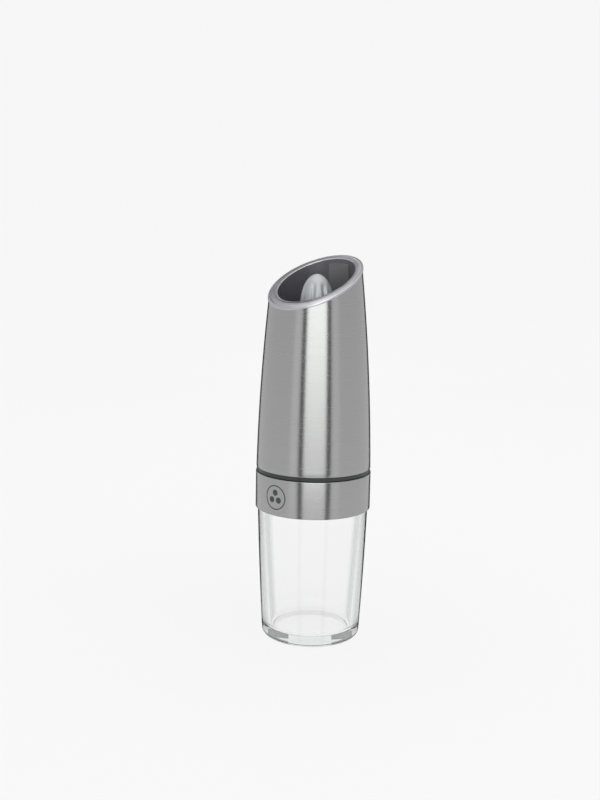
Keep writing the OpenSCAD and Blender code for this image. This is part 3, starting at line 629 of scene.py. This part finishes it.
class MILL_OT_liner(bpy.types.Operator):
    """Liner: charcoal cup in the mouth with a rounded floor round the burr tower"""

    bl_idname = "mill.liner"
    bl_label = "Mouth liner"

    def execute(self, context):
        s, colours = in_mm(context.scene.mill_shell), context.scene.mill_colours
        steps, rows = 224, 24
        wall, hole, corner, lip = 1.4, 15.6, 2.2, 0.4
        below_rim = 0.36
        low = low_mm("mouth_liner")
        floor = low + 1.6

        def side(share, offset, base):
            """Ring of the wall, from a base height up to just below the bezel's face."""
            points = []
            for k in range(steps):
                angle = TURN * k / steps
                top = on_plane(s, angle, lambda z: mouth_radius(s, z), below_rim)
                z = base + (top - base) * share
                r = mouth_radius(s, z) + offset
                points.append((r * math.cos(angle), r * math.sin(angle), z))
            return points

        bend = floor + corner
        rings = [side(1 - i / rows, 0.0, bend) for i in range(rows + 1)]
        outline = arc(mouth_radius(s, bend) - corner, bend, corner, 0, -90, 8)[1:]
        outline += arc(hole + lip, floor - lip, lip, 90, 180, 4) + [(hole, low)]
        rings += [circle(r, z, steps) for r, z in outline]
        rings += [side(i / rows, wall, low) for i in range(rows + 1)]
        verts, faces = loft(rings)
        make_piece(
            "liner_cup", verts, faces, "shell",
            moulded("ABS, charcoal, moulded half gloss", colours.charcoal, 0.3, 0.35, 0.006),
            ("mouth_liner",), 40.0,
        )
        return {"FINISHED"}


class MILL_OT_knob(bpy.types.Operator):
    """Setting knob: silver dome with finger flutes that run out below its top"""

    bl_idname = "mill.knob"
    bl_label = "Setting knob"

    def execute(self, context):
        k, colours = in_mm(context.scene.mill_knob), context.scene.mill_colours
        steps, rows, skirt_rows = 320, 60, 8
        chamfer, smooth_top, fade = 0.35, 3.2, 4.5
        dome_low = k.top - k.dome
        skirt_low = k.low + chamfer
        levels = [(k.radius - chamfer, k.low), (k.radius - 0.1, k.low + 0.1)]
        levels += [(k.radius, skirt_low + (dome_low - skirt_low) * i / skirt_rows) for i in range(skirt_rows)]
        turns = [math.pi / 2 * i / rows for i in range(rows)]
        levels += [(k.radius * math.cos(a), dome_low + k.dome * math.sin(a)) for a in turns]
        pitch = TURN / k.flutes
        rings = []
        for r, z in levels:
            depth = k.flute_depth * smooth((k.top - smooth_top - z) / fade)
            ring = []
            for n in range(steps):
                angle = TURN * n / steps
                off = (angle - k.flute_turn + pitch / 2) % pitch - pitch / 2
                across = min(1.0, abs(off) * r / k.flute_half)
                q = r - depth * (1 - across * across) ** 1.5
                ring.append((q * math.cos(angle), q * math.sin(angle), z))
            rings.append(ring)
        verts, faces = capped(rings, (0, 0, k.low + 0.4), (0, 0, k.top))
        make_piece(
            "knob_dome", verts, faces, "knob",
            silver_paint("ABS, silver painted, satin", colours.silver), ("grind_knob",), 60.0,
        )
        return {"FINISHED"}


class MILL_OT_jar(bpy.types.Operator):
    """Jar: thick pressed glass with a rounded base, a flat ground foot and a soft inner corner"""

    bl_idname = "mill.jar"
    bl_label = "Glass jar"

    def execute(self, context):
        j, colours = in_mm(context.scene.mill_jar), context.scene.mill_colours

        def outer(z):
            """Outer radius at a height."""
            h = j.shoulder - z
            return j.radius - j.lean * h - j.bow * h * h

        rows = 36
        centre, foot, neck, neck_in, edge = 0.001, 17.0, 27.2, 24.8, 0.4
        inner_bend = 3.0
        bend = j.floor + inner_bend
        low_in, top_in = outer(bend) - j.wall - 1.4, j.radius - j.wall
        heights = [j.corner + (j.shoulder - edge - j.corner) * i / rows for i in range(rows + 1)]
        outline = [(centre, 0.0), (foot, 0.0)]
        outline += arc(outer(j.corner) - j.corner, j.corner, j.corner, -90, -6, 14)
        outline += [(outer(z), z) for z in heights]
        outline += [(j.radius - 0.12, j.shoulder - 0.1), (j.radius - 0.45, j.shoulder)]
        outline += [(neck + 0.3, j.shoulder), (neck, j.shoulder + 0.3)]
        outline += [(neck, j.neck_top - edge), (neck - edge, j.neck_top)]
        outline += [(neck_in + edge, j.neck_top), (neck_in, j.neck_top - edge), (neck_in, j.shoulder + 2)]
        inner_top = j.shoulder - 1
        outline += [
            (top_in + (low_in - top_in) * i / rows, inner_top + (bend - inner_top) * i / rows)
            for i in range(rows)
        ]
        outline += arc(low_in - inner_bend, bend, inner_bend, 0, -90, 12)
        outline += [(4.0, j.floor), (centre, j.floor)]
        verts, faces = lathe(outline, 192)
        jar = make_piece(
            "jar_glass", verts, faces, "container",
            clear_glass("soda-lime glass, pressed and polished", colours.glass), ("jar",), 50.0,
        )
        jar.visible_shadow = jar.visible_diffuse = False
        return {"FINISHED"}


class MILL_OT_band(bpy.types.Operator):
    """Collar band: rolled steel sleeve with its edges turned in, and a small etched mark"""

    bl_idname = "mill.band"
    bl_label = "Collar band"

    def execute(self, context):
        j, colours = in_mm(context.scene.mill_jar), context.scene.mill_colours
        wall, lip = 0.6, 1.1
        r, low, high = j.band_radius, j.band_low, j.band_high
        outline = [(r - lip, low), (r, low), (r, high), (r - lip, high), (r - lip, high - wall)]
        outline += [(r - wall, high - wall), (r - wall, low + wall), (r - lip, low + wall)]
        verts, faces = lathe(rounded(outline, 0.32, 5), 256)
        steel = brushed_steel("stainless steel, brushed band", colours.steel)
        make_piece("band_steel", verts, faces, "container", steel, ("band_sleeve",), 50.0)
        self.mark(r, (low + high) / 2, colours.oxide)
        return {"FINISHED"}

    def mark(self, radius, height, colour):
        """Round outline with three peppercorns, wrapped on the band."""
        outline_r, line, corn_r, corn_reach = 6.4, 0.6, 1.6, 2.5
        out = radius + 0.02
        centre = math.radians(-91.0)
        verts, faces = [], []

        def strip(across, up, r_in, r_out, steps):
            """Flat ring round a place on the band."""
            base = len(verts)
            for n in range(steps):
                a = TURN * n / steps
                for q in (r_in, r_out):
                    turn = centre + (across + q * math.cos(a)) / radius
                    z = height + up + q * math.sin(a)
                    verts.append((out * math.cos(turn), out * math.sin(turn), z))
            for n in range(steps):
                m = (n + 1) % steps
                faces.append((base + 2 * n, base + 2 * n + 1, base + 2 * m + 1, base + 2 * m))

        strip(0, 0, outline_r - line, outline_r, 96)
        for n in range(3):
            a = math.pi / 2 + TURN * n / 3
            strip(corn_reach * math.cos(a), corn_reach * math.sin(a), 0.02, corn_r, 40)
        make_piece(
            "band_mark", verts, faces, "container",
            etched_mark("laser mark, dark oxide", colour),
        )


def node_finishes(c):
    """Rows of a finish and the frame nodes that wear it; these nodes are shown as they are."""
    black = moulded("ABS, black, moulded", c.black, 0.45)
    plated = machined("steel, zinc plated", "#b4b6b8", 0.3)
    brass = machined("brass, stamped", "#c9a558", 0.26)
    bronze = machined("bronze, sintered", "#9a6f3d", 0.5, 0.4)
    copper = machined("copper, enamelled wire", "#b0632f", 0.3, 0.35)
    acetal = moulded("acetal, natural, moulded", "#ded8c6", 0.35, 0.4, 0.004)
    nylon = moulded("nylon, grey, moulded", "#4a4d50", 0.5)
    film = moulded("film, printed copper tone", "#a8642b", 0.28, 3.0, 0.002, Metallic=0.6)
    lamp = moulded("epoxy, clear lamp body", "#f0f0ea", 0.12, 2.0, 0.001, Transmission_Weight=0.5)
    guide = moulded("acrylic, clear, polished", "#eef3f5", 0.06, 3.0, 0.001, Transmission_Weight=0.9)
    ceramic = sintered_ceramic("alumina ceramic, ground", "#e4e1d9")
    planets = tuple(f"{stage}_planet_{n}" for stage in ("first", "second") for n in "abc")
    return (
        (black, ("jar_collar", "battery_frame", "feed_ducts", "top_deck", "burr_housing", "ring_retainer",
                 "inner_sleeve")),
        (moulded("acrylic, smoke grey, moulded", c.smoke, 0.3, 3.0, 0.002), ("mouth_window",)),
        (moulded("ABS, dark grey seam ring, moulded", c.ring, 0.36), ("base_flange",)),
        (moulded("silicone, dark, moulded", "#343436", 0.6), ("jar_gasket",)),
        (moulded("nitrile rubber, moulded", "#2f3032", 0.65), ("shaft_seal",)),
        (brass, ("contact_strips", "motor_brushes", "sun_gear", "knob_nut")),
        (plated, ("contact_springs", "burr_spring", "spring_seat", "motor_shaft", "drive_shaft",
                  "tilt_switch_tube", "flange_screws", "deck_screws", "cover_screws", "housing_screws",
                  "motor_screws")),
        (machined("steel, drawn can, nickel plated", "#b9bbbd", 0.24), ("motor_can",)),
        (film, ("battery_cells",)),
        (moulded("ferrite, sintered", "#3c3c3f", 0.6), ("motor_magnets",)),
        (moulded("nylon, natural, moulded", "#ded9cb", 0.42), ("motor_end_cap",)),
        (bronze, ("motor_bushes", "shaft_bush")),
        (nylon, ("gearbox_base", "gearbox_cover")),
        (acetal, ("gearbox_ring", "first_carrier", "second_carrier") + planets),
        (ceramic, ("burr_ring", "burr_cone")),
        (moulded("glass cloth board, green mask", "#2f6a40", 0.3, 0.6), ("control_board",)),
        (lamp, ("led_lamp",)),
        (guide, ("light_guide",)),
        (moulded("PVC, red insulation", "#a32a22", 0.4), ("motor_wires",)),
        (moulded("PVC, white insulation", "#d2cfc6", 0.4), ("led_wires",)),
        (machined("iron, punched plates", "#75777a", 0.45, 0.5), ("armature_stack",)),
        (copper, ("armature_windings", "commutator")),
        (machined("brass, gilded ball", "#cdb35f", 0.15), ("tilt_ball",)),
    )


class MILL_OT_frame_finishes(bpy.types.Operator):
    """Gives every frame node that is shown a finish of its own"""

    bl_idname = "mill.frame_finishes"
    bl_label = "Frame finishes"

    def execute(self, context):
        for finish, names in node_finishes(context.scene.mill_colours):
            for name in names:
                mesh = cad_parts[name].data
                mesh.materials.clear()
                mesh.materials.append(finish)
        return {"FINISHED"}


# Camera: azimuth from -Y towards +X, pan, pitch and roll in degrees; distance and height in metres
CAMERA = {
    "azimuth": 38.4, "distance": 0.5763, "height": 0.2209, "pan": 0.76, "pitch": 9.4, "roll": 1.05,
    "lens": 50.65,
}

# Soft boxes: turn from the camera and height in degrees, reach, width and height in metres, power in
# watts, whether mirror-like surfaces see it, and whether it lights matt ones
LIGHTS = (
    ("front_strip", 2.0, 23.4, 1.1, 0.9, 1.06, 4.7, True, False),
    ("left_glow", -40.0, 10.0, 1.1, 0.3, 1.3, 0.22, True, False),
    ("right_glow", 44.0, 10.0, 1.1, 0.3, 1.3, 0.16, True, False),
    ("back_strip", 180.0, 22.0, 1.1, 0.12, 1.1, 0.5, True, False),
    ("overhead", 0.0, 89.0, 1.5, 1.8, 1.8, 8.0, True, False),
    ("key", 50.0, 50.0, 1.4, 1.0, 1.0, 2.0, False, True),
)

# Flags: turn from the camera and width in degrees, shade, and whether glass sees it in place of metal;
# all stand at one reach, from one height to another, in metres
FLAG_REACH = 0.9
FLAG_LOW, FLAG_HIGH = -0.6, 1.4
FLAGS = (
    ("flag_front_left", -25.5, 8.5, "#101010", False), ("flag_front_right", 29.5, 8.5, "#0a0a0a", False),
    ("flag_back_left", 163.0, 28.0, "#343434", False), ("flag_back_right", 197.0, 28.0, "#343434", False),
    ("flag_glass_left", 214.0, 32.0, "#a0a0a0", True), ("flag_glass_right", 146.0, 32.0, "#a0a0a0", True),
)


class MILL_OT_stage(bpy.types.Operator):
    """Pale floor that sweeps up into a backdrop, soft lights and the camera"""

    bl_idname = "mill.stage"
    bl_label = "Stage, lights and camera"

    def execute(self, context):
        scene = context.scene
        self.floor(scene.mill_colours.floor)
        self.world(scene)
        self.lights()
        self.flags()
        self.camera(scene)
        scene.view_settings.view_transform = "Standard"
        scene.cycles.use_denoising = True
        scene.cycles.max_bounces = 24
        scene.cycles.transmission_bounces = 16
        scene.cycles.glossy_bounces = 8
        return {"FINISHED"}

    def floor(self, colour):
        """Round floor that curves up into a wall on all sides; mirrors and shadows pass it by."""
        made = opal_acrylic("opal acrylic, matt, lit from below", colour)
        flat, bend, rise, below = 1800.0, 700.0, 2600.0, 0.3
        side = [(flat + bend, rise)] + arc(flat, bend, bend, 0, -90, 16) + [(0.01, 0.0)]
        verts, faces = loft([circle(r, z - below, 96) for r, z in side], closed=False)
        floor = self.card("studio_floor", verts, faces, made)
        floor.data.shade_smooth()
        floor.visible_glossy = floor.visible_diffuse = floor.visible_shadow = False

    def card(self, name, verts, faces, finish):
        """Flat studio piece that is no part of the mill."""
        mesh = bpy.data.meshes.new(name)
        mesh.from_pydata([[c * MM for c in v] for v in verts], [], faces)
        mesh.materials.append(finish)
        card = bpy.data.objects.new(name, mesh)
        bpy.context.scene.collection.objects.link(card)
        return card

    def flags(self):
        """Dark cards: metal sees some, which edge the strip of light, and glass the others."""
        for name, turn, wide, shade, in_glass in FLAGS:
            a = math.radians(CAMERA["azimuth"] + turn)
            out, side = Vector((math.sin(a), -math.cos(a), 0)), Vector((math.cos(a), math.sin(a), 0))
            middle, half = out * FLAG_REACH, side * math.tan(math.radians(wide) / 2) * FLAG_REACH
            low, high = Vector((0, 0, FLAG_LOW)), Vector((0, 0, FLAG_HIGH))
            corners = [middle - half + low, middle + half + low, middle + half + high, middle - half + high]
            finish = felt("felt, dark, " + name, shade)
            flag = self.card(name, [c / MM for c in corners], [(0, 1, 2, 3)], finish)
            flag.visible_camera = flag.visible_diffuse = flag.visible_shadow = False
            flag.visible_glossy, flag.visible_transmission = not in_glass, in_glass

    def world(self, scene):
        """White surround for matt surfaces; mirror-like ones see a grey that lightens downwards."""
        world = bpy.data.worlds.new("studio surround")
        world.use_nodes = True
        tree = world.node_tree
        path = add(tree, "LightPath").outputs
        mirrored = add(
            tree, "Math", {0: path["Is Glossy Ray"], 1: path["Is Transmission Ray"]},
            operation="SUBTRACT", use_clamp=True,
        )
        place = add(tree, "TexCoord").outputs["Generated"]
        up = add(tree, "SeparateXYZ", {0: place}).outputs["Z"]
        share = add(tree, "MapRange", {"Value": up, "From Min": -0.22, "From Max": 0.18})
        grey = add(
            tree, "Mix", {0: share, 6: linear("#d9d9d9"), 7: linear("#c5c5c5")}, data_type="RGBA"
        )
        mix = add(
            tree, "Mix", {0: mirrored, 6: linear("#ffffff"), 7: grey.outputs[2]}, data_type="RGBA"
        )
        tree.links.new(mix.outputs[2], tree.nodes["Background"].inputs[0])
        scene.world = world

    def lights(self):
        """Soft boxes, placed by angle round the mill from the camera's side."""
        middle = Vector((0, 0, 0.1))
        for name, turn, height, reach, wide, tall, power, mirrored, lighting in LIGHTS:
            data = bpy.data.lights.new(name, "AREA")
            data.shape = "RECTANGLE"
            data.size, data.size_y, data.energy = wide, tall, power
            lamp = bpy.data.objects.new(name, data)
            a, e = math.radians(CAMERA["azimuth"] + turn), math.radians(height)
            away = Vector((math.sin(a) * math.cos(e), -math.cos(a) * math.cos(e), math.sin(e)))
            lamp.location = middle + away * reach
            lamp.rotation_mode = "QUATERNION"
            lamp.rotation_quaternion = (-away).to_track_quat("-Z", "Y")
            lamp.visible_glossy, lamp.visible_diffuse = mirrored, lighting
            lamp.visible_camera = lamp.visible_transmission = False
            bpy.context.scene.collection.objects.link(lamp)

    def camera(self, scene):
        """Camera a little above the mill's middle, seen from its front right."""
        data = bpy.data.cameras.new("camera")
        data.sensor_width = 36.0
        data.lens = CAMERA["lens"]
        camera = bpy.data.objects.new("camera", data)
        a = math.radians(CAMERA["azimuth"])
        camera.location = (
            CAMERA["distance"] * math.sin(a), -CAMERA["distance"] * math.cos(a), CAMERA["height"]
        )
        b, p = a + math.radians(CAMERA["pan"]), math.radians(CAMERA["pitch"])
        ahead = Vector((-math.sin(b) * math.cos(p), math.cos(b) * math.cos(p), -math.sin(p)))
        camera.rotation_mode = "QUATERNION"
        level = ahead.to_track_quat("-Z", "Y")
        roll = Matrix.Rotation(math.radians(CAMERA["roll"]), 3, "Z").to_quaternion()
        camera.rotation_quaternion = level @ roll
        data.clip_start, data.clip_end = 0.02, 20
        scene.collection.objects.link(camera)
        scene.camera = camera


STEPS = (
    MILL_OT_jar, MILL_OT_band, MILL_OT_shell, MILL_OT_bezel, MILL_OT_liner, MILL_OT_knob,
    MILL_OT_frame_finishes, MILL_OT_stage,
)


class MILL_PT_panel(bpy.types.Panel):
    """Lists the steps that build the mill"""

    bl_label = "Pepper mill"
    bl_idname = "MILL_PT_panel"
    bl_space_type = "VIEW_3D"
    bl_region_type = "UI"
    bl_category = "Mill"

    def draw(self, context):
        for step in STEPS:
            self.layout.operator(step.bl_idname)
        for name, group in GROUPS:
            box = self.layout.box()
            for prop in group.__annotations__:
                box.prop(getattr(context.scene, name), prop)


def register():
    """Registers the property groups, the operators and the panel."""
    for name, group in GROUPS:
        bpy.utils.register_class(group)
        setattr(bpy.types.Scene, name, bpy.props.PointerProperty(type=group))
    for cls in (*STEPS, MILL_PT_panel):
        bpy.utils.register_class(cls)


def unregister():
    """Takes back what register did, in reverse order."""
    for cls in reversed((*STEPS, MILL_PT_panel)):
        bpy.utils.unregister_class(cls)
    for name, group in reversed(GROUPS):
        delattr(bpy.types.Scene, name)
        bpy.utils.unregister_class(group)


def main():
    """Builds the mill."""
    register()
    bpy.ops.mill.jar()
    bpy.ops.mill.band()
    bpy.ops.mill.shell()
    bpy.ops.mill.bezel()
    bpy.ops.mill.liner()
    bpy.ops.mill.knob()
    bpy.ops.mill.frame_finishes()
    bpy.ops.mill.stage()


if __name__ == "__main__":
    main()
